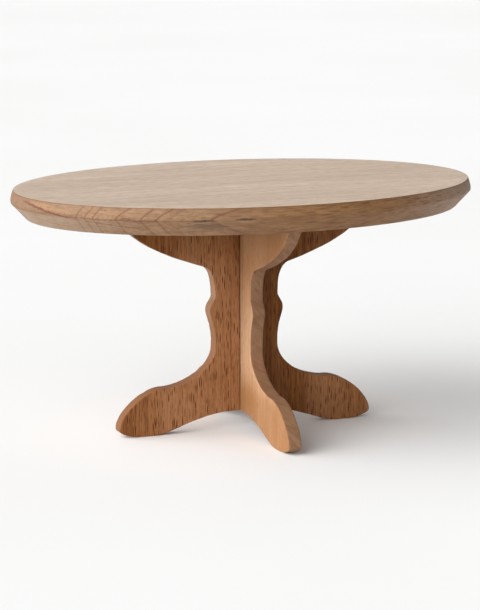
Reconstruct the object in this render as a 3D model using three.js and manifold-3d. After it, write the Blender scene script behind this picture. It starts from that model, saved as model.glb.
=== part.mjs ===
// Miniature dining table: an oval top on a pedestal of two crossed, halved leg boards, held by dowels.
// Millimetres, +Z up. The origin is on the floor under the middle of the table.
// +X runs along the length of the top and along the long leg board.

import * as THREE from 'three';
import { mergeVertices } from 'three/addons/utils/BufferGeometryUtils.js';
import Module from 'manifold-3d';

const wasm = await Module();
wasm.setup();

// ---- Driving dimensions ----

const TABLE_HEIGHT = 91;

// Table top: a routed oval slab
const TOP_LENGTH = 173;
const TOP_WIDTH = 122;
const TOP_THICKNESS = 10.2;
const BAND_INSET = 1.2; // the crisp upper arris stands this far in from the rim
const BAND_BELLY = 2.6; // how far down the band's bulge is pulled, from the top surface
const BAND_DROP = 3.7; // where the band turns upright
const BAND_DEPTH = 4.2; // from the top surface down to the line where the under-bevel starts
const BEVEL_INSET = 5.7;

// Leg boards: both are sawn to one outline
const BOARD_THICKNESS = 5;
const BOARD_ARRIS = 0.4; // sanded round along every edge of the outline
const BRACKET_REACH = 49; // half of the bracket's length, along the underside of the top
const BRACKET_DEPTH = 19.5;
const CORNER_RUN = 4.7; // how far the hollow corner under the bracket stands out from the shank
const SHANK_HALF_WIDTH = 12.3;
const BEAD_PROUD = 2.1;
const SWEEP_HEIGHT = 31; // where the shank starts to sweep out into the feet
const FOOT_REACH = 49.3;
const INSTEP_RUN = 17.3; // the top of the foot is level this far in from the toe
const INSTEP_HEIGHT = 17.3;
const TOE_HEIGHT = 3; // the toe's tip above the floor
const TOE_LENGTH = 8.8; // from the tip in to the flat sole
const SOLE_LENGTH = 5;
const ARCH_HEIGHT = 6.75;
const ARCH_CROWN = 12; // the level middle of the arch

// Shares of the shank's own height, from the sweep up to the bracket
const BEAD_FOOT = 0.07;
const BEAD_MIDDLE = 0.445;
const BEAD_HEAD = 0.62;

// Halved joint where the boards cross
const LAP_HEIGHT = 40.75; // the long board is whole below this, the cross board above it
const UPPER_LAP_GAP = 0.3; // each side of the cross board, in the long board's slot
const LOWER_LAP_GAP = 0.15; // each side of the long board, in the cross board's slot
const LAP_END_GAP = 0.3;

// Dowels between the brackets and the top
const DOWEL_DIAMETER = 3;
const DOWEL_REACH = 32; // from the middle of the table
const DOWEL_IN_BOARD = 8;
const DOWEL_IN_TOP = 6;
const DOWEL_CHAMFER = 0.4;
const DOWEL_GAP = 0.1; // round the dowel
const DOWEL_END_GAP = 0.5; // above the dowel, for glue

// Fineness of the facets
const OVAL_SEGMENTS = 120;
const BAND_STEPS = 6;
const CURVE_STEPS = 12;
const ARRIS_STEPS = 2;
const DOWEL_SEGMENTS = 24;
const CUT_PAST = 1; // how far a cutter runs past the face that it opens

const LEG_HEIGHT = TABLE_HEIGHT - TOP_THICKNESS;

// Two dowels stand in the long board and two in the cross board.
const DOWEL_PLACES = [
  { side: 'left', x: -DOWEL_REACH, y: 0 },
  { side: 'right', x: DOWEL_REACH, y: 0 },
  { side: 'front', x: 0, y: -DOWEL_REACH },
  { side: 'back', x: 0, y: DOWEL_REACH },
];

// ---- Solids ----

function toSolid(geometry) {
  const bare = geometry.clone();
  bare.deleteAttribute('normal');
  bare.deleteAttribute('uv');
  const merged = mergeVertices(bare);
  const corners = merged.index.array;
  const triangles = [];
  for (let i = 0; i < corners.length; i += 3) {
    const [a, b, c] = corners.slice(i, i + 3);
    if (a !== b && b !== c && c !== a) triangles.push(a, b, c);
  }
  return new wasm.Manifold(new wasm.Mesh({
    numProp: 3,
    vertProperties: new Float32Array(merged.attributes.position.array),
    triVerts: new Uint32Array(triangles),
  }));
}

function toGeometry(solid) {
  const mesh = solid.getMesh();
  const geometry = new THREE.BufferGeometry();
  geometry.setAttribute('position', new THREE.BufferAttribute(mesh.vertProperties, 3));
  geometry.setIndex(new THREE.BufferAttribute(mesh.triVerts, 1));
  return geometry;
}

function cut(geometry, cutters) {
  let solid = toSolid(geometry);
  for (const cutter of cutters) solid = solid.subtract(toSolid(cutter));
  return toGeometry(solid);
}

// A turned shape about +Z, from its profile of [radius, height] points
function turned(profile, segments) {
  const points = profile.map(([radius, height]) => new THREE.Vector2(radius, height));
  return new THREE.LatheGeometry(points, segments).rotateX(Math.PI / 2);
}

function uprightHole(x, y, bottom, top) {
  const radius = DOWEL_DIAMETER / 2 + DOWEL_GAP;
  const hole = turned([[0, bottom], [radius, bottom], [radius, top], [0, top]], DOWEL_SEGMENTS);
  return hole.translate(x, y, 0);
}

// ---- Table top ----

// The top's edge, from the underside up to the top surface, as [inset from the rim, height]
function edgeProfile() {
  const band = new THREE.QuadraticBezierCurve(
    new THREE.Vector2(0, TABLE_HEIGHT - BAND_DROP),
    new THREE.Vector2(0, TABLE_HEIGHT - BAND_BELLY),
    new THREE.Vector2(BAND_INSET, TABLE_HEIGHT),
  );
  return [
    [BEVEL_INSET, LEG_HEIGHT],
    [0, TABLE_HEIGHT - BAND_DEPTH],
    ...band.getPoints(BAND_STEPS).map((point) => [point.x, point.y]),
  ];
}

// Turns the edge round the length of the oval, then brings the sides in to its width.
// Every point keeps its inset from the rim, so the bevel and band are the same all the way round.
function ovalSlab() {
  const halfLength = TOP_LENGTH / 2;
  const narrower = halfLength - TOP_WIDTH / 2;
  const rim = edgeProfile().map(([inset, height]) => [halfLength - inset, height]);
  const slab = turned([[0, LEG_HEIGHT], ...rim, [0, TABLE_HEIGHT]], OVAL_SEGMENTS);
  const place = slab.attributes.position;
  for (let i = 0; i < place.count; i += 1) {
    const radius = Math.hypot(place.getX(i), place.getY(i));
    if (radius > narrower) place.setY(i, place.getY(i) * (1 - narrower / radius));
  }
  return slab;
}

function tableTop() {
  const holeTop = LEG_HEIGHT + DOWEL_IN_TOP + DOWEL_END_GAP;
  const holes = DOWEL_PLACES.map(({ x, y }) => uprightHole(x, y, LEG_HEIGHT - CUT_PAST, holeTop));
  return cut(ovalSlab(), holes);
}

// ---- Leg boards ----

// One curve of the outline. Each pull is a share of the way from the curve's start to its end,
// along and up, so the curve keeps its character when its ends move.
function curveTo(path, end, startPull, endPull) {
  const start = path.currentPoint.clone();
  const along = (share) => start.x + share * (end[0] - start.x);
  const up = (share) => start.y + share * (end[1] - start.y);
  path.bezierCurveTo(along(startPull[0]), up(startPull[1]), along(endPull[0]), up(endPull[1]), ...end);
}

// The right half of the outline, from the middle of the top edge round to the middle of the arch
function halfOutline() {
  const bracketFoot = LEG_HEIGHT - BRACKET_DEPTH;
  const shankHeight = bracketFoot - SWEEP_HEIGHT;
  const onShank = (share) => SWEEP_HEIGHT + share * shankHeight;
  const soleEnd = FOOT_REACH - TOE_LENGTH;
  const soleStart = soleEnd - SOLE_LENGTH;

  const path = new THREE.Path();
  path.moveTo(0, LEG_HEIGHT);
  path.lineTo(BRACKET_REACH, LEG_HEIGHT);
  // bracket, then the hollow corner under it
  curveTo(path, [SHANK_HALF_WIDTH + CORNER_RUN, bracketFoot], [0.15, 0.46], [0.47, 0.73]);
  curveTo(path, [SHANK_HALF_WIDTH, onShank(BEAD_HEAD)], [0.96, 0.12], [1, 0.62]);
  // bead
  curveTo(path, [SHANK_HALF_WIDTH + BEAD_PROUD, onShank(BEAD_MIDDLE)], [0, 0.29], [1, 0.51]);
  curveTo(path, [SHANK_HALF_WIDTH, onShank(BEAD_FOOT)], [0, 0.22], [1, 0.45]);
  path.lineTo(SHANK_HALF_WIDTH, SWEEP_HEIGHT);
  // sweep out to the instep, then over to the toe and under it to the sole
  curveTo(path, [FOOT_REACH - INSTEP_RUN, INSTEP_HEIGHT], [0, 0.59], [0.6, 1]);
  curveTo(path, [FOOT_REACH, TOE_HEIGHT], [0.44, 0], [1, 0.6]);
  curveTo(path, [soleEnd, 0], [0, 0.56], [0.62, 1]);
  path.lineTo(soleStart, 0);
  // arch
  curveTo(path, [ARCH_CROWN / 2, ARCH_HEIGHT], [0.19, 0], [0.58, 1]);
  path.lineTo(0, ARCH_HEIGHT);
  return path.getPoints(CURVE_STEPS);
}

function boardBlank() {
  const right = halfOutline();
  const left = right.slice(1, -1).reverse().map((point) => new THREE.Vector2(-point.x, point.y));
  const depth = BOARD_THICKNESS - 2 * BOARD_ARRIS;
  const board = new THREE.ExtrudeGeometry(new THREE.Shape([...right, ...left]), {
    depth,
    bevelThickness: BOARD_ARRIS,
    bevelSize: BOARD_ARRIS,
    bevelOffset: -BOARD_ARRIS,
    bevelSegments: ARRIS_STEPS,
  });
  return board.translate(0, 0, -depth / 2).rotateX(Math.PI / 2);
}

// A board along X, with its slot for the other board and its two dowel holes
function legBoard({ slotBottom, slotTop, slotGap }) {
  const slot = new THREE.BoxGeometry(
    BOARD_THICKNESS + 2 * slotGap,
    BOARD_THICKNESS + 2 * CUT_PAST,
    slotTop - slotBottom,
  ).translate(0, 0, (slotTop + slotBottom) / 2);
  const holeBottom = LEG_HEIGHT - DOWEL_IN_BOARD;
  const holes = [-DOWEL_REACH, DOWEL_REACH].map(
    (x) => uprightHole(x, 0, holeBottom, LEG_HEIGHT + CUT_PAST),
  );
  return cut(boardBlank(), [slot, ...holes]);
}

function longLegBoard() {
  return legBoard({
    slotBottom: LAP_HEIGHT,
    slotTop: LEG_HEIGHT + CUT_PAST,
    slotGap: UPPER_LAP_GAP,
  });
}

function crossLegBoard() {
  return legBoard({
    slotBottom: -CUT_PAST,
    slotTop: LAP_HEIGHT + LAP_END_GAP,
    slotGap: LOWER_LAP_GAP,
  });
}

// ---- Dowels ----

// It stands on the bottom of the hole in the board.
function dowel() {
  const radius = DOWEL_DIAMETER / 2;
  const length = DOWEL_IN_BOARD + DOWEL_IN_TOP;
  return turned([
    [0, 0],
    [radius - DOWEL_CHAMFER, 0],
    [radius, DOWEL_CHAMFER],
    [radius, length - DOWEL_CHAMFER],
    [radius - DOWEL_CHAMFER, length],
    [0, length],
  ], DOWEL_SEGMENTS);
}

// ---- Assembly ----

function wood(color, roughness) {
  return new THREE.MeshStandardMaterial({ color, roughness, metalness: 0 });
}

function piece(name, geometry, material) {
  const mesh = new THREE.Mesh(geometry, material);
  mesh.name = name;
  return mesh;
}

const topBeech = wood(0xcbb8a4, 0.75);
const redBeech = wood(0x9c6a48, 0.7);
const paleBeech = wood(0xc4936c, 0.7);
const dowelBeech = wood(0xd2b48c, 0.8);

const table = new THREE.Group();
table.add(piece('table_top', tableTop(), topBeech));

const pedestal = new THREE.Group();
pedestal.add(piece('long_leg_board', longLegBoard(), redBeech));
const crossBoard = piece('cross_leg_board', crossLegBoard(), paleBeech);
crossBoard.rotation.z = Math.PI / 2;
pedestal.add(crossBoard);
table.add(pedestal);

for (const { side, x, y } of DOWEL_PLACES) {
  const pin = piece(`dowel_${side}`, dowel(), dowelBeech);
  pin.position.set(x, y, LEG_HEIGHT - DOWEL_IN_BOARD);
  table.add(pin);
}

export default table;
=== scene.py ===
import math

import bmesh
import bpy
import numpy as np
from mathutils import Euler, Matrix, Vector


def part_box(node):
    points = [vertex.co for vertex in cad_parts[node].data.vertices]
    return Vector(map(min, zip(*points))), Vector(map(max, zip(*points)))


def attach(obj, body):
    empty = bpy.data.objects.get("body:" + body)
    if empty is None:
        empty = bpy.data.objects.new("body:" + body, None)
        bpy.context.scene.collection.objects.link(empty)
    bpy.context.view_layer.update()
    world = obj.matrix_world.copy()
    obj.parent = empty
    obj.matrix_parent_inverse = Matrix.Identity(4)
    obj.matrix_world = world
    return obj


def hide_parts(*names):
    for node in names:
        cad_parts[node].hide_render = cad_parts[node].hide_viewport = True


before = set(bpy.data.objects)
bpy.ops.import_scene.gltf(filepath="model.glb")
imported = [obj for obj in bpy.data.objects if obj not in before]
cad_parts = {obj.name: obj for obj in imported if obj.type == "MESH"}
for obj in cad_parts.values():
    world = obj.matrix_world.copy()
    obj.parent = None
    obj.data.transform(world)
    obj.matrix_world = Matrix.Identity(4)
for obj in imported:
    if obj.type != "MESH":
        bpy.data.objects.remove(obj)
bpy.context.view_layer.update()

# Miniature dining table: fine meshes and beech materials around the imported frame.
# Shapes are worked out in millimetres, in the frame's axes, and turned into metres as they become meshes.

MM = 0.001

# ---- Sizes read from the frame ----

TOP_LOW, TOP_HIGH = (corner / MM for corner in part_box("table_top"))
BOARD_LOW, BOARD_HIGH = (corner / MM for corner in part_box("long_leg_board"))
DOWEL_LOW, DOWEL_HIGH = (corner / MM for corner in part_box("dowel_right"))

HALF_LENGTH = TOP_HIGH.x
HALF_WIDTH = TOP_HIGH.y
TABLE_HEIGHT = TOP_HIGH.z
LEG_HEIGHT = TOP_LOW.z
HALF_BOARD = BOARD_HIGH.y
FOOT_REACH = BOARD_HIGH.x
DOWEL_REACH = (DOWEL_LOW.x + DOWEL_HIGH.x) / 2
DOWEL_RADIUS = (DOWEL_HIGH.x - DOWEL_LOW.x) / 2

# ---- Sizes repeated from the CAD source ----

BAND_INSET = 1.2
BAND_BELLY = 2.6
BAND_DROP = 3.7
BAND_DEPTH = 4.2
BEVEL_INSET = 5.7

BRACKET_REACH = 49
BRACKET_DEPTH = 19.5
CORNER_RUN = 4.7
SHANK_HALF_WIDTH = 12.3
BEAD_PROUD = 2.1
SWEEP_HEIGHT = 31
INSTEP_RUN = 17.3
INSTEP_HEIGHT = 17.3
TOE_HEIGHT = 3
TOE_LENGTH = 8.8
SOLE_LENGTH = 5
ARCH_HEIGHT = 6.75
ARCH_CROWN = 12
BEAD_FOOT = 0.07
BEAD_MIDDLE = 0.445
BEAD_HEAD = 0.62

LAP_HEIGHT = 40.75
UPPER_LAP_GAP = 0.3
LOWER_LAP_GAP = 0.15
LAP_END_GAP = 0.3
DOWEL_GAP = 0.1
DOWEL_END_GAP = 0.5

# ---- Roundings of the top's edge, from the underside up ----

UNDERSIDE_ROUND = 0.6
BEVEL_ROUND = 0.9
BAND_ROUND = 0.2
ARRIS_ROUND = 0.28
BEVEL_HEAD_INSET = 0.02  # the head of the bevel lies just inside the belly of the band
UNDERSIDE_RUN = 6  # the profile starts this far in from the bevel's foot
TOP_RUN = 3  # and ends this far in from the upper arris

# ---- Hand finish ----

# The rim of the top wanders in and out, and up and down.
RIM_WAVES = 40
RIM_WANDER = 0.12
LIFT_WAVES = 30
LIFT_WANDER = 0.1

# The sawn outline of a board wanders, except where it is fitted.
SAWN_WAVES = 90
SAWN_WANDER = 0.09
FREE_FADE_POINTS = 3  # the freedom fades over this many points beside each fitted stretch

# The arrises of a board are sharp where it is fitted, and sanded and chipped elsewhere.
SHARP_RADIUS = 0.1
SANDED_RADIUS = 0.36
SANDED_SPREAD = 0.1
SANDED_WAVES = 60
SANDED_GAIN = 1.5  # how fast the sanding takes over as the freedom rises
CHIP_COUNT = 26
CHIP_WIDTHS = (0.3, 1.1)
CHIP_DEPTHS = (0.1, 0.4)

# ---- Fineness ----

OUTLINE_STEP = 0.5
CURVE_SAMPLES = 200
RIPPLE_WAVES = 24  # a ripple of many waves is made of this many of them, or up to twice as many
RIM_STEPS = 720
BAND_POINTS = 9
CORNER_STEPS = 6
CORNER_SHARE = 0.48  # a rounding takes at most this share of the line on each side of its corner
HOLE_STEPS = 32
HOLE_PAST = 1  # how far a hole cutter runs past the face that it opens
ARRIS_ROWS = 5
EDGE_ROWS = 6
MITER_LIMIT = 0.35  # the lowest cosine that a corner's outward normal is divided by
WELD_REACH = 0.004
EDGE_FADE = 0.5  # the "edge" attribute rises from 0 to 1 over this depth below a board's face
EDGE_REACH = 0.3  # and is kept for points this close to the outline
BATCHES = 40  # nearest outline points are found in this many parts, to save memory

# ---- Light and camera ----

# Each broad soft panel of the studio: its azimuth and elevation in degrees, and its strength.
# Azimuth 0 is behind the table (+Y), 180 in front of it and 270 on its left.
PANELS = ((0, 15, 0.62), (90, 15, 0.4), (225, 15, 1.35), (270, 15, 4.2))
PANEL_RIM = 0.45  # the cosine at which a panel's light starts
PANEL_CORE = 0.95  # the cosine from which it is full

FLOOR_REACH = 12000

CAMERA_PLACE = (-0.3512, -0.8933, 0.2283)  # in metres
CAMERA_LENS = 157.64  # in millimetres, as is the sensor
SENSOR_WIDTH = 36.0
CAMERA_PITCH = 10.782  # degrees down from level
CAMERA_TURN = 21.373  # degrees to the right of +Y
CAMERA_ROLL = 0.06
CLIP_START = 0.05  # in metres
CLIP_END = 100.0


# ---- Colours ----

def srgb(red, green, blue):
    """A display colour of 0 to 255 as the linear colour that the shader takes."""
    def linear(value):
        share = value / 255
        return share / 12.92 if share <= 0.04045 else ((share + 0.055) / 1.055) ** 2.4
    return (linear(red), linear(green), linear(blue), 1.0)


# The long board's faces, edges and joint line.
# The first four are painted shade and painted light copies of the face and streak colours.
RED_PAINTED_SHADE = srgb(105, 57, 10)
RED_PAINTED_LIGHT = srgb(146, 99, 62)
RED_STREAK_PAINTED_SHADE = srgb(146, 96, 44)
RED_STREAK_PAINTED_LIGHT = srgb(172, 122, 84)
RED_PORE = srgb(92, 48, 20)
RED_FLECK = srgb(76, 26, 8)
RED_EDGE_LOW = srgb(120, 80, 51)
RED_EDGE_HIGH = srgb(146, 114, 87)
RED_EDGE_STREAK = srgb(112, 74, 48)
RED_JOINT = srgb(44, 20, 8)

# The cross board's faces and joint line, and its sawn edges.
# The first two are painted shade and painted light copies of the faces' colour.
PEACH_PAINTED_SHADE = srgb(147, 104, 66)
PEACH_PAINTED_LIGHT = srgb(186, 151, 119)
PEACH_STREAK = srgb(150, 104, 70)
PEACH_PORE = srgb(132, 88, 58)
PEACH_FLECK = srgb(118, 70, 42)
PEACH_JOINT = srgb(60, 32, 16)
SAWN_DARK = srgb(124, 89, 63)
SAWN_LIGHT = srgb(144, 110, 82)
SAWN_SWEEP = srgb(158, 108, 76)
SAWN_ARRIS = srgb(140, 76, 42)

# The flat of the top.
TOP_DARK = srgb(190, 170, 152)
TOP_LIGHT = srgb(205, 185, 167)
TOP_STREAK = srgb(173, 150, 130)
TOP_MOTTLE = srgb(168, 145, 124)
TOP_FLECK = srgb(136, 106, 84)

# The side of the top.
RIM_DARK = srgb(129, 96, 67)
RIM_LIGHT = srgb(149, 117, 87)
RIM_FINE = srgb(104, 68, 40)
RIM_STREAK = srgb(158, 126, 96)
RIM_FRONT_TINT = (0.93, 0.84, 0.66, 1)
# painted light: a pale grey that lightens the rim's right end
RIM_RIGHT_END_PAINTED_LIGHT = srgb(166, 142, 122)
RIM_LEFT_BAND = srgb(112, 84, 60)
RIM_LEFT_BEVEL = srgb(166, 146, 126)
RIM_PALE = srgb(150, 112, 76)
RIM_RING = srgb(100, 54, 32)
RIM_FLECK = srgb(88, 48, 26)
RIM_SMUDGE = srgb(56, 45, 36)
RIM_CREASE = srgb(98, 46, 24)
RIM_WORN = srgb(112, 74, 46)

# The dowels and the floor.
DOWEL_DARK = srgb(200, 166, 124)
DOWEL_LIGHT = srgb(222, 192, 150)
DOWEL_PORE = srgb(160, 118, 80)
FLOOR_DARK = srgb(236, 236, 235)
FLOOR_LIGHT = srgb(240, 240, 240)


# ---- Shapes in the plane ----

def bezier(start, start_pull, end_pull, end, shares):
    """Points of one cubic curve. Each pull is a share of the way from start to end, along and up."""
    start, end = np.array(start, float), np.array(end, float)
    first = start + (end - start) * start_pull
    second = start + (end - start) * end_pull
    t = shares[:, None]
    left = 1 - t
    return left ** 3 * start + 3 * left ** 2 * t * first + 3 * left * t ** 2 * second + t ** 3 * end


class Outline:
    """An outline drawn in even steps. Each point knows how freely the hand may round it there."""

    def __init__(self, start):
        self.points = [np.array(start, float)]
        self.free = [0.0]

    def add(self, points, free):
        """More points, all as free as that."""
        self.points.extend(points)
        self.free.extend([free] * len(points))

    def line(self, along, up, free=0.0):
        """A straight line to the place along and up, fitted if it isn't free."""
        start, end = self.points[-1], np.array((along, up), float)
        count = max(1, round(np.linalg.norm(end - start) / OUTLINE_STEP))
        shares = np.arange(1, count + 1)[:, None] / count
        self.add(list(start + (end - start) * shares), free)

    def curve(self, along, up, start_pull, end_pull):
        """One free cubic curve to the place along and up."""
        start, end = self.points[-1], (along, up)
        shares = np.linspace(0, 1, CURVE_SAMPLES)
        rough = bezier(start, start_pull, end_pull, end, shares)
        travel = np.concatenate([[0], np.cumsum(np.linalg.norm(np.diff(rough, axis=0), axis=1))])
        count = round(travel[-1] / OUTLINE_STEP)
        even = np.interp(np.arange(1, count + 1) / count * travel[-1], travel, shares)
        self.add(list(bezier(start, start_pull, end_pull, end, even)), 1.0)


def draw_right_half(start_at_slot):
    """The right half of a leg board. It starts in the long board's slot, or ends in the cross board's."""
    bracket_foot = LEG_HEIGHT - BRACKET_DEPTH
    shank_height = bracket_foot - SWEEP_HEIGHT
    sole_end = FOOT_REACH - TOE_LENGTH
    upper_slot = HALF_BOARD + UPPER_LAP_GAP
    lower_slot = HALF_BOARD + LOWER_LAP_GAP

    def on_shank(share):
        return SWEEP_HEIGHT + share * shank_height

    if start_at_slot:
        half = Outline((0, LAP_HEIGHT))
        half.line(upper_slot, LAP_HEIGHT)
        half.line(upper_slot, LEG_HEIGHT)
    else:
        half = Outline((0, LEG_HEIGHT))
    half.line(BRACKET_REACH, LEG_HEIGHT)
    half.curve(SHANK_HALF_WIDTH + CORNER_RUN, bracket_foot, (0.15, 0.46), (0.47, 0.73))
    half.curve(SHANK_HALF_WIDTH, on_shank(BEAD_HEAD), (0.96, 0.12), (1, 0.62))
    half.curve(SHANK_HALF_WIDTH + BEAD_PROUD, on_shank(BEAD_MIDDLE), (0, 0.29), (1, 0.51))
    half.curve(SHANK_HALF_WIDTH, on_shank(BEAD_FOOT), (0, 0.22), (1, 0.45))
    half.line(SHANK_HALF_WIDTH, SWEEP_HEIGHT, free=1.0)
    half.curve(FOOT_REACH - INSTEP_RUN, INSTEP_HEIGHT, (0, 0.59), (0.6, 1))
    half.curve(FOOT_REACH, TOE_HEIGHT, (0.44, 0), (1, 0.6))
    half.curve(sole_end, 0, (0, 0.56), (0.62, 1))
    half.line(sole_end - SOLE_LENGTH, 0)
    half.curve(ARCH_CROWN / 2, ARCH_HEIGHT, (0.19, 0), (0.58, 1))
    if start_at_slot:
        half.line(0, ARCH_HEIGHT, free=1.0)
    else:
        half.line(lower_slot, ARCH_HEIGHT, free=1.0)
        half.line(lower_slot, LAP_HEIGHT + LAP_END_GAP)
        half.line(0, LAP_HEIGHT + LAP_END_GAP)
    return np.array(half.points), np.array(half.free)


def ripple(count, waves, seed):
    """A smooth closed wobble within -1 to 1 round a loop of points, with up to that many waves."""
    random = np.random.default_rng(seed)
    turn = np.arange(count) / count * math.tau
    total = np.zeros(count)
    for wave in range(2, waves, max(1, waves // RIPPLE_WAVES)):
        total += random.normal() * np.sin(wave * turn + random.uniform(0, math.tau))
    return total / np.abs(total).max()


def bumps(travel, places, widths, depths):
    """A row of soft lumps along the outline: chips in an arris."""
    total = np.zeros(len(travel))
    for place, width, depth in zip(places, widths, depths):
        total = np.maximum(total, depth * np.exp(-(((travel - place) / width) ** 2)))
    return total


def full_outline(start_at_slot, seed):
    """The closed outline with its outward normals, the travel along it and how free each point is."""
    right, free = draw_right_half(start_at_slot)
    left = right[1:-1][::-1] * (-1, 1)
    points = np.vstack([right, left])
    free = np.concatenate([free, free[1:-1][::-1]])
    window = 2 * FREE_FADE_POINTS + 1
    looped = np.concatenate([free[-FREE_FADE_POINTS:], free, free[:FREE_FADE_POINTS]])
    free = np.minimum(free, np.convolve(looped, np.ones(window) / window, "valid"))
    ahead = np.roll(points, -1, axis=0) - points
    behind = points - np.roll(points, 1, axis=0)
    sides = [np.stack([-step[:, 1], step[:, 0]], 1) / np.linalg.norm(step, axis=1)[:, None]
             for step in (ahead, behind)]
    miter = sides[0] + sides[1]
    miter /= np.maximum((miter * sides[0]).sum(1), MITER_LIMIT)[:, None]
    wobble = ripple(len(points), SAWN_WAVES, seed) * SAWN_WANDER * free
    points = points + miter * wobble[:, None]
    travel = np.concatenate([[0], np.cumsum(np.linalg.norm(np.diff(points, axis=0), axis=1))])
    return points, miter, travel, free


# ---- Meshes ----

def mesh_object(name, vertices, faces, flat_faces=()):
    """A smooth-shaded object from millimetre points, with the given faces left flat."""
    mesh = bpy.data.meshes.new(name)
    mesh.from_pydata((np.asarray(vertices) * MM).tolist(), [], faces)
    smooth = np.ones(len(faces), bool)
    smooth[list(flat_faces)] = False
    mesh.polygons.foreach_set("use_smooth", smooth)
    mesh.update()
    made = bpy.data.objects.new(name, mesh)
    bpy.context.scene.collection.objects.link(made)
    return made


def strip_faces(rows, steps):
    """Quads between closed rows of points, then one face over each end row."""
    faces = []
    for row in range(rows - 1):
        for step in range(steps):
            after = (step + 1) % steps
            low, high = row * steps, (row + 1) * steps
            faces.append((low + step, low + after, high + after, high + step))
    faces.append(tuple(range(steps))[::-1])
    faces.append(tuple(range((rows - 1) * steps, rows * steps)))
    return faces


def upright_hole(x, y, bottom, top):
    """The cutter for one dowel hole."""
    # half a step on, so that no point of the hole falls on a grid line of the piece
    angles = (np.arange(HOLE_STEPS) + 0.5) / HOLE_STEPS * math.tau
    radius = DOWEL_RADIUS + DOWEL_GAP
    ring = np.stack([x + radius * np.cos(angles), y + radius * np.sin(angles)], 1)
    rows = [np.column_stack([ring, np.full(HOLE_STEPS, height)]) for height in (bottom, top)]
    return mesh_object("hole", np.vstack(rows), strip_faces(2, HOLE_STEPS))


def weld(mesh):
    """Joins points that fall together, takes out the slivers between them, and cuts up the broken faces."""
    solid = bmesh.new()
    solid.from_mesh(mesh)
    bmesh.ops.remove_doubles(solid, verts=solid.verts, dist=WELD_REACH * MM)
    bmesh.ops.dissolve_degenerate(solid, edges=solid.edges, dist=WELD_REACH * MM)
    broken = [face for face in solid.faces if 4 < len(face.verts) < HOLE_STEPS]
    bmesh.ops.triangulate(solid, faces=broken)
    solid.to_mesh(mesh)
    solid.free()


def cut(piece, holes):
    """Takes the holes out of the piece, and removes their cutters."""
    for hole in holes:
        modifier = piece.modifiers.new("cut", "BOOLEAN")
        modifier.operation = "DIFFERENCE"
        modifier.solver = "EXACT"
        modifier.object = hole
    evaluated = piece.evaluated_get(bpy.context.evaluated_depsgraph_get())
    solid = bpy.data.meshes.new_from_object(evaluated)
    piece.modifiers.clear()
    weld(solid)
    piece.data = solid
    for hole in holes:
        bpy.data.objects.remove(hole)


def soft_corners(corners, radii):
    """A polyline with each inner corner rounded by about its radius."""
    points = [corners[0]]
    for before, corner, after, radius in zip(corners, corners[1:], corners[2:], radii):
        corner = np.array(corner, float)
        back = np.array(before, float) - corner
        ahead = np.array(after, float) - corner
        back_length, ahead_length = np.linalg.norm(back), np.linalg.norm(ahead)
        reach = min(radius, CORNER_SHARE * back_length, CORNER_SHARE * ahead_length)
        start = corner + back / back_length * reach
        end = corner + ahead / ahead_length * reach
        for t in np.linspace(0, 1, CORNER_STEPS):
            points.append(tuple((1 - t) ** 2 * start + 2 * (1 - t) * t * corner + t ** 2 * end))
    points.append(corners[-1])
    return np.array(points)


def band_curve():
    """The slightly bulging band, from where it turns upright to the crisp upper arris."""
    t = np.linspace(0, 1, BAND_POINTS)
    inset = t ** 2 * BAND_INSET
    height = TABLE_HEIGHT - ((1 - t) ** 2 * BAND_DROP + 2 * (1 - t) * t * BAND_BELLY)
    return list(zip(inset, height))


def edge_profile():
    """The top's edge, from the underside up to the top surface, as [inset from the rim, height]."""
    bevel_foot = (BEVEL_INSET, LEG_HEIGHT)
    bevel_head = (BEVEL_HEAD_INSET, TABLE_HEIGHT - BAND_DEPTH)
    start = (BEVEL_INSET + UNDERSIDE_RUN, LEG_HEIGHT)
    end = (BAND_INSET + TOP_RUN, TABLE_HEIGHT)
    radii = [UNDERSIDE_ROUND, BEVEL_ROUND] + [BAND_ROUND] * (BAND_POINTS - 1) + [ARRIS_ROUND]
    return soft_corners([start, bevel_foot, bevel_head] + band_curve() + [end], radii)


def build_top():
    """The oval top, with a blind hole over each dowel."""
    profile = edge_profile()
    angles = np.arange(RIM_STEPS) / RIM_STEPS * math.tau
    wander = ripple(RIM_STEPS, RIM_WAVES, seed=11) * RIM_WANDER
    lift = ripple(RIM_STEPS, LIFT_WAVES, seed=12) * LIFT_WANDER
    rows = []
    for inset, height in profile:
        # the hand-held finish wanders only between the flat faces
        share = 4 * (height - LEG_HEIGHT) * (TABLE_HEIGHT - height) / (TABLE_HEIGHT - LEG_HEIGHT) ** 2
        held_in = inset + (wander + RIM_WANDER) * share
        rows.append(np.stack([
            (HALF_LENGTH - held_in) * np.cos(angles),
            (HALF_WIDTH - held_in) * np.sin(angles),
            np.full(RIM_STEPS, height) + lift * share,
        ], 1))
    faces = strip_faces(len(rows), RIM_STEPS)
    top = mesh_object("oval_top", np.vstack(rows), faces, flat_faces=(len(faces) - 2, len(faces) - 1))
    dowel_top = DOWEL_HIGH.z + DOWEL_END_GAP
    places = ((-DOWEL_REACH, 0), (DOWEL_REACH, 0), (0, -DOWEL_REACH), (0, DOWEL_REACH))
    cut(top, [upright_hole(x, y, LEG_HEIGHT - HOLE_PAST, dowel_top) for x, y in places])
    return top


def arris_radius(travel, free, seed):
    """How far the sandpaper rounded each point of one arris, with a few small chips."""
    random = np.random.default_rng(seed)
    places = random.uniform(0, travel[-1], CHIP_COUNT)
    widths = random.uniform(*CHIP_WIDTHS, CHIP_COUNT)
    depths = random.uniform(*CHIP_DEPTHS, CHIP_COUNT)
    sanded = SANDED_RADIUS + SANDED_SPREAD * ripple(len(travel), SANDED_WAVES, seed + 1)
    worn = sanded - SHARP_RADIUS + bumps(travel, places, widths, depths)
    return SHARP_RADIUS + worn * np.clip(free * SANDED_GAIN, 0, 1)


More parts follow.
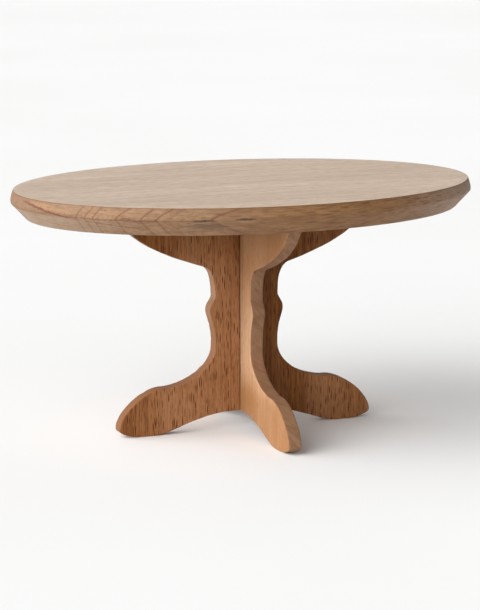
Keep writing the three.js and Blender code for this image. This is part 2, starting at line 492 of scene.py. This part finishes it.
def build_board(name, start_at_slot, seed):
    """One leg board, standing along X and HALF_BOARD thick each side of the XZ plane."""
    points, miter, travel, free = full_outline(start_at_slot, seed)
    rows = []

    def add_row(inset, depth):
        flat = points - miter * inset[:, None]
        rows.append(np.column_stack([flat[:, 0], depth, flat[:, 1]]))

    front = arris_radius(travel, free, seed + 10)
    back = arris_radius(travel, free, seed + 20)
    quarter = np.linspace(0, math.pi / 2, ARRIS_ROWS)
    for angle in quarter:
        add_row(front * (1 - math.sin(angle)), -HALF_BOARD + front * (1 - math.cos(angle)))
    start, end = -HALF_BOARD + front, HALF_BOARD - back
    for share in np.arange(1, EDGE_ROWS) / EDGE_ROWS:
        add_row(np.zeros(len(points)), start + (end - start) * share)
    for angle in quarter[::-1]:
        add_row(back * (1 - math.sin(angle)), HALF_BOARD - back * (1 - math.cos(angle)))
    faces = strip_faces(len(rows), len(points))
    board = mesh_object(name, np.vstack(rows), faces, flat_faces=(len(faces) - 2, len(faces) - 1))
    hole_top = LEG_HEIGHT + HOLE_PAST
    cut(board, [upright_hole(x, 0, DOWEL_LOW.z, hole_top) for x in (-DOWEL_REACH, DOWEL_REACH)])
    mark_edges(board, points, travel)
    return board


def mark_edges(board, points, travel):
    """Keeps, at each vertex, whether it lies on the sawn edge and how far along the outline it is."""
    mesh = board.data
    place = np.zeros(len(mesh.vertices) * 3)
    mesh.vertices.foreach_get("co", place)
    place = place.reshape(-1, 3) / MM
    flat = place[:, [0, 2]]
    nearest = np.concatenate([
        ((part[:, None, :] - points[None]) ** 2).sum(2).argmin(1) for part in np.array_split(flat, BATCHES)
    ])
    away = np.linalg.norm(flat - points[nearest], axis=1)
    edge = np.clip((HALF_BOARD - np.abs(place[:, 1])) / EDGE_FADE, 0, 1) * (away < EDGE_REACH)
    for name, values in (("edge", edge), ("travel", travel[nearest])):
        attribute = mesh.attributes.new(name, "FLOAT", "POINT")
        attribute.data.foreach_set("value", values.astype(np.float32))


# ---- Materials ----

# The top's layers lean by this much per millimetre of height, and the clearest rings lie at these places.
RING_SLANT = 0.42
RING_PLACES = (-56.5, -49.2, -46.4, -41.8, -36.2, -33.9, -31.3)
RING_WANDER = 2.2
RING_LINE = 0.42
RIM_RADIUS = 68.0  # turns an angle round the front left of the rim into millimetres
RIM_RAGGED = 1.5  # how far the strokes on the rim stray up and down

TOP_SHINE = 0.4
BOARD_SHINE = 0.2  # the sawn boards are bare, so they reflect less than the smooth top
WOOD_IOR = 1.45
FLECK_SHIFT = 37.0  # keeps the flecks of one seed away from those of the next
FLECK_SCATTER = 0.95
FLECK_SHORTEST = 0.7  # the shortest fleck of a kind, as a share of the longest
FLECK_FAINTEST = 0.4  # and the faintest, as a share of the darkest
FLECK_SOFTNESS = 0.3
STROKE_SOFTNESS = 0.5
STREAK_RELIEF = 0.6  # how high the streaks stand and how deep the flecks lie, next to the pores
FLECK_RELIEF = 0.5
JOINT_WIDTH = 0.26
EDGE_START = 0.1  # the "edge" attribute where a sawn edge's colour starts, and where it is full
EDGE_FULL = 0.6


def on_rim(degrees, drop):
    """A place on the top's side: an angle from +X, negative at the front, and a drop from the surface."""
    return math.radians(degrees) * RIM_RADIUS, drop


# Strokes on the rim: start, end, thickness and strength.
RED_STROKES = (
    (on_rim(-178, 0.4), on_rim(-147, 5.4), 0.95, 0.9),
    (on_rim(-152, 4.8), on_rim(-126, 8.2), 0.4, 0.7),
    (on_rim(-151, 4.5), on_rim(-116, 4.4), 0.5, 0.45),
    (on_rim(-174, 6.2), on_rim(-151, 8.9), 0.35, 0.55),
    (on_rim(-142.5, 1.1), on_rim(-139, 1.2), 0.5, 0.6),
    (on_rim(-136, 3.6), on_rim(-132, 3.9), 0.5, 0.6),
    (on_rim(-161, 1.6), on_rim(-158, 1.8), 0.45, 0.6),
    (on_rim(-88, 3.6), on_rim(-84.5, 3.8), 0.5, 0.5),
    (on_rim(-82.5, 1.5), on_rim(-79, 1.7), 0.45, 0.5),
    (on_rim(-63, 1.7), on_rim(-59.5, 1.9), 0.45, 0.5),
)
GREY_STROKES = (
    (on_rim(-119, 4.5), on_rim(-111.5, 4.2), 1.0, 0.75),
    (on_rim(-116, 4.3), on_rim(-112.5, 4.2), 0.9, 0.9),
    (on_rim(-108, 3.9), on_rim(-102, 4.0), 1.1, 0.85),
    (on_rim(-121, 6.2), on_rim(-108, 6.6), 3.2, 0.4),
)
PALE_STROKES = (
    (on_rim(-171, 0.7), on_rim(-148, 3.2), 2.2, 0.6),
    (on_rim(-148, 1.6), on_rim(-128, 2.4), 2.0, 0.4),
)


class Pattern:
    """A material under construction. Its patterns are measured in millimetres in the table's frame."""

    def __init__(self, name):
        self.material = bpy.data.materials.new(name)
        self.material.use_nodes = True
        self.tree = self.material.node_tree
        self.shader = self.tree.nodes["Principled BSDF"]
        metres = self.add("TexCoord").outputs["Object"]
        place = self.add("VectorMath", {0: metres, "Scale": 1 / MM}, operation="SCALE").outputs[0]
        self.x, self.y, self.z = self.add("SeparateXYZ", {0: place}).outputs

    def add(self, kind, inputs=None, **settings):
        """A new node. Each input takes a number, a colour or another node's output."""
        node = self.tree.nodes.new("ShaderNode" + kind)
        for name, value in settings.items():
            setattr(node, name, value)
        for socket, value in (inputs or {}).items():
            if isinstance(value, bpy.types.NodeSocket):
                self.tree.links.new(value, node.inputs[socket])
            else:
                node.inputs[socket].default_value = value
        return node

    def math(self, operation, *values):
        return self.add("Math", dict(enumerate(values)), operation=operation).outputs[0]

    def plus(self, a, b):
        return self.math("ADD", a, b)

    def times(self, a, b):
        return self.math("MULTIPLY", a, b)

    def minus(self, a, b):
        return self.math("SUBTRACT", a, b)

    def fade(self, value, start, end, low=0.0, high=1.0):
        """Goes softly from low to high as value goes from start to end."""
        inputs = {"Value": value, "From Min": start, "From Max": end, "To Min": low, "To Max": high}
        return self.add("MapRange", inputs, interpolation_type="SMOOTHSTEP").outputs["Result"]

    def scaled(self, x, y, z, size_x, size_y, size_z):
        """A place whose unit along each axis is that many millimetres."""
        parts = {0: self.times(x, 1 / size_x), 1: self.times(y, 1 / size_y), 2: self.times(z, 1 / size_z)}
        return self.add("CombineXYZ", parts).outputs[0]

    def noise(self, place, detail, roughness=0.5, distortion=0.0):
        """Noise with cells of about one unit of the place."""
        inputs = {"Vector": place, "Scale": 1.0, "Detail": detail, "Roughness": roughness,
                  "Distortion": distortion}
        return self.add("TexNoise", inputs).outputs["Fac"]

    def grain(self, size_x, size_y, size_z, detail, roughness=0.5):
        """Noise whose cells are about that many millimetres along each axis."""
        return self.noise(self.scaled(self.x, self.y, self.z, size_x, size_y, size_z), detail, roughness)

    def blend(self, amount, below, above, mode="MIX"):
        """Goes from the colour below to the one above as the amount goes from 0 to 1."""
        settings = {"data_type": "RGBA", "blend_type": mode, "clamp_factor": True}
        return self.add("Mix", {0: amount, 6: below, 7: above}, **settings).outputs[2]

    def attribute(self, name):
        """A value that the mesh keeps at its vertices."""
        return self.add("Attribute", attribute_name=name).outputs["Fac"]

    def strongest(self, masks):
        """The highest of several masks."""
        total = masks[0]
        for mask in masks[1:]:
            total = self.math("MAXIMUM", total, mask)
        return total

    def near(self, value, place, reach):
        """1 where the value is the place, fading to 0 at reach on either side."""
        return self.fade(self.math("ABSOLUTE", self.minus(value, place)), 0, reach, 1, 0)

    def stroke(self, across, down, start, end, thickness):
        """A spindle from start to end, thickness wide in its middle."""
        run = (end[0] - start[0], end[1] - start[1])
        length = math.hypot(*run)
        middle = ((start[0] + end[0]) / 2, (start[1] + end[1]) / 2)
        from_x, from_y = self.minus(across, middle[0]), self.minus(down, middle[1])
        along = self.plus(self.times(from_x, run[0] / length), self.times(from_y, run[1] / length))
        aside = self.minus(self.times(from_x, run[1] / length), self.times(from_y, run[0] / length))
        share = self.times(along, 2 / length)
        lens = self.minus(1.0, self.times(share, share))
        side = self.times(self.math("ABSOLUTE", aside), 2 / thickness)
        return self.fade(self.minus(lens, side), 0.0, STROKE_SOFTNESS)

    def flecks(self, across, along, width, height, thin, tall, seed):
        """Spindle-shaped flecks, one in each cell of width by height, up to thin wide and tall high.

        Gives their mask, and a chance of 0 to 1 that is the same all over one fleck.
        """
        shifted = self.plus(across, seed * FLECK_SHIFT)
        parts = {0: self.times(shifted, 1 / width), 1: self.times(along, 1 / height)}
        cell = self.add("CombineXYZ", parts).outputs[0]
        inputs = {"Vector": cell, "Scale": 1.0, "Randomness": FLECK_SCATTER}
        voronoi = self.add("TexVoronoi", inputs, voronoi_dimensions="2D").outputs
        away = self.add("VectorMath", {0: cell, 1: voronoi["Position"]}, operation="SUBTRACT").outputs[0]
        away_x, away_z, _ = self.add("SeparateXYZ", {0: away}).outputs
        chance, size, dark = self.add("SeparateColor", {0: voronoi["Color"]}).outputs
        longest = 0.5 * tall / height
        reach = self.fade(size, 0.0, 1.0, FLECK_SHORTEST * longest, longest)
        up = self.math("DIVIDE", away_z, reach)
        lens = self.minus(1.0, self.times(up, up))
        side = self.math("DIVIDE", self.math("ABSOLUTE", away_x), 0.5 * thin / width)
        shape = self.fade(self.minus(lens, side), 0.0, FLECK_SOFTNESS)
        strength = self.fade(dark, 0.0, 1.0, FLECK_FAINTEST, 1.0)
        return self.times(shape, strength), chance

    def finish(self, colour, roughness, height, depth, shine=0.5):
        """Wires up colour and roughness, and height as a bump of that many millimetres."""
        self.shader.inputs["IOR"].default_value = WOOD_IOR
        self.shader.inputs["Specular IOR Level"].default_value = shine
        self.tree.links.new(colour, self.shader.inputs["Base Color"])
        self.tree.links.new(roughness, self.shader.inputs["Roughness"])
        bump = self.add("Bump", {"Strength": 1.0, "Distance": depth * MM, "Height": height})
        self.tree.links.new(bump.outputs[0], self.shader.inputs["Normal"])
        return self.material


def flat_board_grain(wood, across, along, deep):
    """Slow colour drift, streaks and fine pores of a board whose grain runs along it."""
    drift = wood.noise(wood.scaled(across, deep, along, 9, 9, 60), detail=3)
    streaks = wood.noise(wood.scaled(across, deep, along, 0.9, 0.9, 22), detail=3, roughness=0.6)
    pores = wood.noise(wood.scaled(across, deep, along, 0.13, 0.13, 1.8), detail=2)
    return drift, streaks, pores


def board_relief(wood, streaks, pores, fleck):
    """The height of a board's surface: its grain, with the flecks a little lower."""
    grain = wood.plus(pores, wood.times(streaks, STREAK_RELIEF))
    return wood.minus(grain, wood.times(fleck, FLECK_RELIEF))


def joint_line(wood, across):
    """The dark line in the corner where the other board comes through."""
    return wood.near(wood.math("ABSOLUTE", across), HALF_BOARD + LOWER_LAP_GAP, JOINT_WIDTH)


def red_beech():
    """The long board: reddish, with dark spindle flecks all over its faces, and painted light and shade
    across them.
    """
    wood = Pattern("red_beech")
    drift, streaks, pores = flat_board_grain(wood, wood.x, wood.z, wood.y)
    edge = wood.attribute("edge")
    # painted light left of the joint, fading toward the left foot, and on the right foot; painted shade
    # right of the joint, where the cross board shades it, and under the top
    left = wood.times(wood.fade(wood.x, -44, -26, 0.4, 1), wood.fade(wood.x, 0, 1.5, 1, 0))
    painted_light_right_foot = wood.fade(wood.x, 15, 30, 0, 0.7)
    painted_light_and_drift = wood.times(wood.plus(left, painted_light_right_foot), wood.fade(wood.z, 52, 76, 1, 0.35))
    painted_light_and_drift = wood.plus(painted_light_and_drift, wood.fade(drift, 0.3, 0.7, -0.2, 0.2))
    # blends the painted shade and painted light copies, with a slow drift of the wood's own tone
    colour = wood.blend(painted_light_and_drift, RED_PAINTED_SHADE, RED_PAINTED_LIGHT)
    streak_colour = wood.blend(painted_light_and_drift, RED_STREAK_PAINTED_SHADE, RED_STREAK_PAINTED_LIGHT)
    colour = wood.blend(wood.fade(streaks, 0.38, 0.66, 0, 0.55), colour, streak_colour)
    colour = wood.blend(wood.fade(pores, 0.5, 0.72, 0, 0.4), colour, RED_PORE)
    strong, chance = wood.flecks(wood.x, wood.z, width=0.75, height=5.0, thin=0.4, tall=4.8, seed=1)
    strong = wood.times(strong, wood.fade(chance, 0.45, 0.6))
    faint, faint_chance = wood.flecks(wood.x, wood.z, width=0.55, height=3.6, thin=0.34, tall=3.2, seed=2)
    faint = wood.times(faint, wood.fade(faint_chance, 0.5, 0.65, 0, 0.45))
    fleck = wood.strongest([strong, faint])
    fleck = wood.times(fleck, wood.fade(edge, EDGE_START, EDGE_FULL, 1, 0.1))
    colour = wood.blend(fleck, colour, RED_FLECK)
    side = wood.blend(wood.fade(wood.z, 36, 50), RED_EDGE_LOW, RED_EDGE_HIGH)
    side = wood.blend(wood.fade(streaks, 0.35, 0.7, 0, 0.5), side, RED_EDGE_STREAK)
    colour = wood.blend(wood.fade(edge, EDGE_START, EDGE_FULL, 0, 0.85), colour, side)
    colour = wood.blend(wood.times(joint_line(wood, wood.x), 0.85), colour, RED_JOINT)
    roughness = wood.fade(streaks, 0.2, 0.8, 0.5, 0.66)
    height = board_relief(wood, streaks, pores, fleck)
    return wood.finish(colour, roughness, height, depth=0.05, shine=BOARD_SHINE)


def pale_edge(wood, edge):
    """The cross board's edges: greyish, with uneven slanting saw bands, and redder in the leg's sweep."""
    travel = wood.plus(wood.attribute("travel"), wood.times(wood.x, 0.9))
    place = wood.scaled(travel, wood.x, wood.z, 2.6, 5, 40)
    band = wood.noise(place, detail=4, roughness=0.7, distortion=0.8)
    side = wood.blend(wood.fade(band, 0.3, 0.7), SAWN_DARK, SAWN_LIGHT)
    sweep = wood.times(wood.fade(wood.z, 14, 22), wood.fade(wood.z, 30, 40, 1, 0))
    side = wood.blend(wood.times(sweep, 0.25), side, SAWN_SWEEP)
    chips = wood.noise(wood.scaled(travel, wood.x, wood.z, 0.8, 4, 4), detail=2)
    arris = wood.times(wood.near(edge, 0.35, 0.3), wood.fade(chips, 0.35, 0.7, 0.25, 0.75))
    return wood.blend(arris, side, SAWN_ARRIS)


def pale_beech():
    """The cross board: light peach faces with fine lines and painted shade toward the feet and under the
    top, and saw bands on its edges.
    """
    wood = Pattern("pale_beech")
    drift, streaks, pores = flat_board_grain(wood, wood.y, wood.z, wood.x)
    edge = wood.attribute("edge")
    # painted shade: darker toward the feet and under the top, with a slow drift of the wood's own tone
    painted_light_and_drift = wood.times(wood.fade(wood.z, 12, 26, 0.1, 1), wood.fade(wood.z, 32, 64, 1, 0.15))
    painted_light_and_drift = wood.plus(painted_light_and_drift, wood.fade(drift, 0.3, 0.7, -0.2, 0.15))
    colour = wood.blend(painted_light_and_drift, PEACH_PAINTED_SHADE, PEACH_PAINTED_LIGHT)
    colour = wood.blend(wood.fade(streaks, 0.4, 0.75, 0, 0.45), colour, PEACH_STREAK)
    colour = wood.blend(wood.fade(pores, 0.5, 0.75, 0, 0.45), colour, PEACH_PORE)
    faint, chance = wood.flecks(wood.y, wood.z, width=0.7, height=3.6, thin=0.3, tall=3.2, seed=3)
    faint = wood.times(faint, wood.fade(chance, 0.4, 0.55, 0, 0.6))
    fleck = wood.times(faint, wood.fade(edge, EDGE_START, EDGE_FULL, 1, 0))
    colour = wood.blend(fleck, colour, PEACH_FLECK)
    colour = wood.blend(wood.fade(edge, EDGE_START, EDGE_FULL), colour, pale_edge(wood, edge))
    colour = wood.blend(wood.times(joint_line(wood, wood.y), 0.5), colour, PEACH_JOINT)
    roughness = wood.fade(streaks, 0.2, 0.8, 0.52, 0.66)
    height = board_relief(wood, streaks, pores, fleck)
    return wood.finish(colour, roughness, height, depth=0.04, shine=BOARD_SHINE)


def ring_lines(wood):
    """The year rings where they come out round the rim: slanting layers, seen as thin dark lines."""
    wander = wood.grain(30, 12, 12, detail=3)
    layer = wood.plus(wood.y, wood.times(wood.minus(wood.z, TABLE_HEIGHT - 3), RING_SLANT))
    layer = wood.plus(layer, wood.times(wood.minus(wander, 0.5), RING_WANDER))
    lines = wood.strongest([wood.near(layer, place, RING_LINE) for place in RING_PLACES])
    lines = wood.times(lines, wood.fade(wood.x, -14, -4, 1, 0.1))
    lines = wood.times(lines, wood.fade(wood.z, TABLE_HEIGHT - 5, TABLE_HEIGHT - 3.8, 0.6, 1))
    others = wood.noise(wood.scaled(layer, 0, 0, 3.4, 1, 1), detail=2, roughness=0.6)
    others = wood.near(others, 0.5, 0.03)
    return wood.strongest([lines, wood.times(others, 0.2)])


def around_rim(wood):
    """Millimetres round the rim from its right end, negative at the front."""
    turn = wood.math("ARCTAN2", wood.times(wood.y, 1 / HALF_WIDTH), wood.times(wood.x, 1 / HALF_LENGTH))
    return wood.times(turn, RIM_RADIUS)


def rim_strokes(wood, strokes):
    """Marks drawn round the rim, each in one straight line from [turn, drop] to [turn, drop]."""
    around = around_rim(wood)
    drop = wood.minus(TABLE_HEIGHT, wood.z)
    ragged = wood.grain(1.4, 1.4, 0.8, detail=4, roughness=0.65)
    drop = wood.plus(drop, wood.times(wood.minus(ragged, 0.5), RIM_RAGGED))
    marks = []
    for start, end, thickness, strength in strokes:
        marks.append(wood.times(wood.stroke(around, drop, start, end, thickness), strength))
    return wood.strongest(marks)


def rim_beech(wood, streaks):
    """The colour of the top's side: ochre and mottled, with rings, a crease, smudges and long grain, and
    painted light at its right end.
    """
    mottle = wood.grain(9, 5, 1.6, detail=4, roughness=0.6)
    fine = wood.grain(6, 0.9, 0.3, detail=3, roughness=0.6)
    side = wood.blend(wood.fade(mottle, 0.3, 0.7), RIM_DARK, RIM_LIGHT)
    side = wood.blend(wood.fade(fine, 0.42, 0.7, 0, 0.7), side, RIM_FINE)
    side = wood.blend(wood.fade(streaks, 0.45, 0.75, 0, 0.35), side, RIM_STREAK)

    # richer at the front; lighter and greyer at the right end, painted light for the light that falls
    # there; at the left end a darker band and a paler bevel
    front = wood.times(wood.fade(wood.y, -30, -HALF_WIDTH, 0, 1), wood.fade(wood.x, -40, 0, 0, 1))
    front = wood.times(front, wood.fade(wood.x, 30, 66, 1, 0))
    side = wood.blend(front, side, RIM_FRONT_TINT, mode="MULTIPLY")
    side = wood.blend(wood.fade(wood.x, 30, 74, 0, 0.45), side, RIM_RIGHT_END_PAINTED_LIGHT)
    bevel = wood.fade(wood.z, TABLE_HEIGHT - 5.4, TABLE_HEIGHT - 4.0, 1, 0)
    left_band = wood.times(wood.fade(wood.x, -82, -70, 0.6, 0), wood.minus(1.0, bevel))
    side = wood.blend(left_band, side, RIM_LEFT_BAND)
    left_bevel = wood.times(bevel, wood.fade(wood.x, -84, -50, 0.5, 0))
    side = wood.blend(left_bevel, side, RIM_LEFT_BEVEL)

    # then the single marks: rings, dashes, smudges and the crease
    side = wood.blend(rim_strokes(wood, PALE_STROKES), side, RIM_PALE)
    side = wood.blend(wood.times(ring_lines(wood), 0.7), side, RIM_RING)
    turn = around_rim(wood)
    dash, chance = wood.flecks(wood.z, turn, width=0.9, height=6, thin=0.42, tall=5.5, seed=5)
    dash = wood.times(dash, wood.fade(chance, 0.45, 0.6, 0, 0.7))
    side = wood.blend(wood.times(dash, wood.fade(wood.x, -30, 5, 0.3, 1)), side, RIM_FLECK)
    side = wood.blend(rim_strokes(wood, GREY_STROKES), side, RIM_SMUDGE)
    side = wood.blend(rim_strokes(wood, RED_STROKES), side, RIM_CREASE)
    worn = wood.fade(wood.z, TABLE_HEIGHT - 0.7, TABLE_HEIGHT - 0.1, 0, 0.5)
    return wood.blend(worn, side, RIM_WORN)


def top_beech():
    """The top: pale and quiet on the flat, with the rings showing on its rim."""
    wood = Pattern("top_beech")
    streaks = wood.grain(34, 1.6, 1.6, detail=4, roughness=0.6)
    bands = wood.grain(120, 14, 14, detail=2)
    pores = wood.grain(1.6, 0.16, 0.16, detail=2)
    mottle = wood.grain(5, 1.4, 1.4, detail=3, roughness=0.65)
    flat = wood.blend(wood.fade(bands, 0.3, 0.7), TOP_DARK, TOP_LIGHT)
    flat = wood.blend(wood.fade(streaks, 0.4, 0.7, 0, 0.6), flat, TOP_STREAK)
    flat = wood.blend(wood.fade(mottle, 0.42, 0.7, 0, 0.6), flat, TOP_MOTTLE)
    dash, chance = wood.flecks(wood.y, wood.x, width=1.2, height=7, thin=0.3, tall=4.5, seed=4)
    dash = wood.times(dash, wood.fade(chance, 0.4, 0.55, 0, 0.7))
    flat = wood.blend(dash, flat, TOP_FLECK)
    below_flat = wood.fade(wood.z, TABLE_HEIGHT - 0.01, TABLE_HEIGHT - 0.06)
    colour = wood.blend(below_flat, flat, rim_beech(wood, streaks))
    roughness = wood.fade(streaks, 0.2, 0.8, 0.5, 0.64)
    height = wood.plus(pores, wood.times(streaks, STREAK_RELIEF))
    return wood.finish(colour, roughness, height, depth=0.03, shine=TOP_SHINE)


def dowel_beech():
    """The dowel rods: pale, with fine pores along them."""
    wood = Pattern("dowel_beech")
    drift, streaks, pores = flat_board_grain(wood, wood.x, wood.z, wood.y)
    colour = wood.blend(wood.fade(streaks, 0.3, 0.7), DOWEL_DARK, DOWEL_LIGHT)
    colour = wood.blend(wood.fade(pores, 0.55, 0.8, 0, 0.5), colour, DOWEL_PORE)
    return wood.finish(colour, wood.fade(drift, 0.2, 0.8, 0.6, 0.75), pores, depth=0.04)


def pale_floor():
    """The floor: nearly white, with the faintest clouds and grit."""
    floor = Pattern("pale_floor")
    cloud = floor.grain(300, 300, 300, detail=3)
    grit = floor.grain(1.5, 1.5, 1.5, detail=2)
    colour = floor.blend(floor.fade(cloud, 0.2, 0.8), FLOOR_DARK, FLOOR_LIGHT)
    return floor.finish(colour, floor.fade(grit, 0.2, 0.8, 0.8, 0.9), grit, depth=0.02)


# ---- The table ----

def place_piece(piece, node, material):
    """Gives the piece its material, hangs it on the root body, and hides the frame part that it stands for.
    """
    piece.data.materials.clear()
    piece.data.materials.append(material)
    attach(piece, "root")
    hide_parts(node)


def turn_across(board):
    """Turns a board built along X to stand along Y."""
    mesh = board.data
    for vertex in mesh.vertices:
        x, y, z = vertex.co
        vertex.co = (-y, x, z)
    mesh.update()


def build_table():
    """The three fine pieces, and wood on the dowels, which stay as they are in the frame."""
    place_piece(build_top(), "table_top", top_beech())
    place_piece(build_board("long_board", True, seed=1), "long_leg_board", red_beech())
    cross = build_board("cross_board", False, seed=2)
    turn_across(cross)
    place_piece(cross, "cross_leg_board", pale_beech())
    rod = dowel_beech()
    for side in ("left", "right", "front", "back"):
        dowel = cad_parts["dowel_" + side]
        dowel.data.materials.clear()
        dowel.data.materials.append(rod)


# ---- Floor, light and camera ----

def build_floor():
    """The floor, far larger than the table."""
    corners = [(x * FLOOR_REACH, y * FLOOR_REACH, 0) for x, y in ((-1, -1), (1, -1), (1, 1), (-1, 1))]
    floor = mesh_object("floor", corners, [(0, 1, 2, 3)])
    floor.data.materials.append(pale_floor())


def panel_direction(azimuth, elevation):
    """The way from the table to a panel."""
    turn, lift = math.radians(azimuth), math.radians(elevation)
    return (math.sin(turn) * math.cos(lift), math.cos(turn) * math.cos(lift), math.sin(lift))


def build_studio():
    """The world: broad soft light panels in a dark studio, the strongest low on the left."""
    world = bpy.data.worlds.new("studio")
    world.use_nodes = True
    nodes, links = world.node_tree.nodes, world.node_tree.links
    towards = nodes.new("ShaderNodeTexCoord").outputs["Generated"]
    total = None
    for azimuth, elevation, strength in PANELS:
        facing = nodes.new("ShaderNodeVectorMath")
        facing.operation = "DOT_PRODUCT"
        links.new(towards, facing.inputs[0])
        facing.inputs[1].default_value = panel_direction(azimuth, elevation)
        glow = nodes.new("ShaderNodeMapRange")
        glow.interpolation_type = "SMOOTHSTEP"
        limits = {"From Min": PANEL_RIM, "From Max": PANEL_CORE, "To Max": strength}
        for name, value in limits.items():
            glow.inputs[name].default_value = value
        links.new(facing.outputs["Value"], glow.inputs["Value"])
        if total is None:
            total = glow.outputs["Result"]
        else:
            both = nodes.new("ShaderNodeMath")
            both.operation = "ADD"
            links.new(total, both.inputs[0])
            links.new(glow.outputs["Result"], both.inputs[1])
            total = both.outputs[0]
    links.new(total, nodes["Background"].inputs["Strength"])
    nodes["Background"].inputs["Color"].default_value = (1, 1, 1, 1)
    bpy.context.scene.world = world


def build_camera():
    """The camera, looking slightly down on the table from the front left."""
    camera = bpy.data.cameras.new("camera")
    camera.lens = CAMERA_LENS
    camera.sensor_width = SENSOR_WIDTH
    camera.clip_start = CLIP_START
    camera.clip_end = CLIP_END
    holder = bpy.data.objects.new("camera", camera)
    holder.location = CAMERA_PLACE
    tilt = Euler((math.radians(90 - CAMERA_PITCH), 0, 0)).to_matrix()
    turn = Euler((0, 0, math.radians(-CAMERA_TURN))).to_matrix()
    roll = Euler((0, 0, math.radians(-CAMERA_ROLL))).to_matrix()
    holder.rotation_euler = (turn @ tilt @ roll).to_euler()
    bpy.context.scene.collection.objects.link(holder)
    bpy.context.scene.camera = holder
    bpy.context.scene.view_settings.view_transform = "Standard"


build_table()
build_floor()
build_studio()
build_camera()
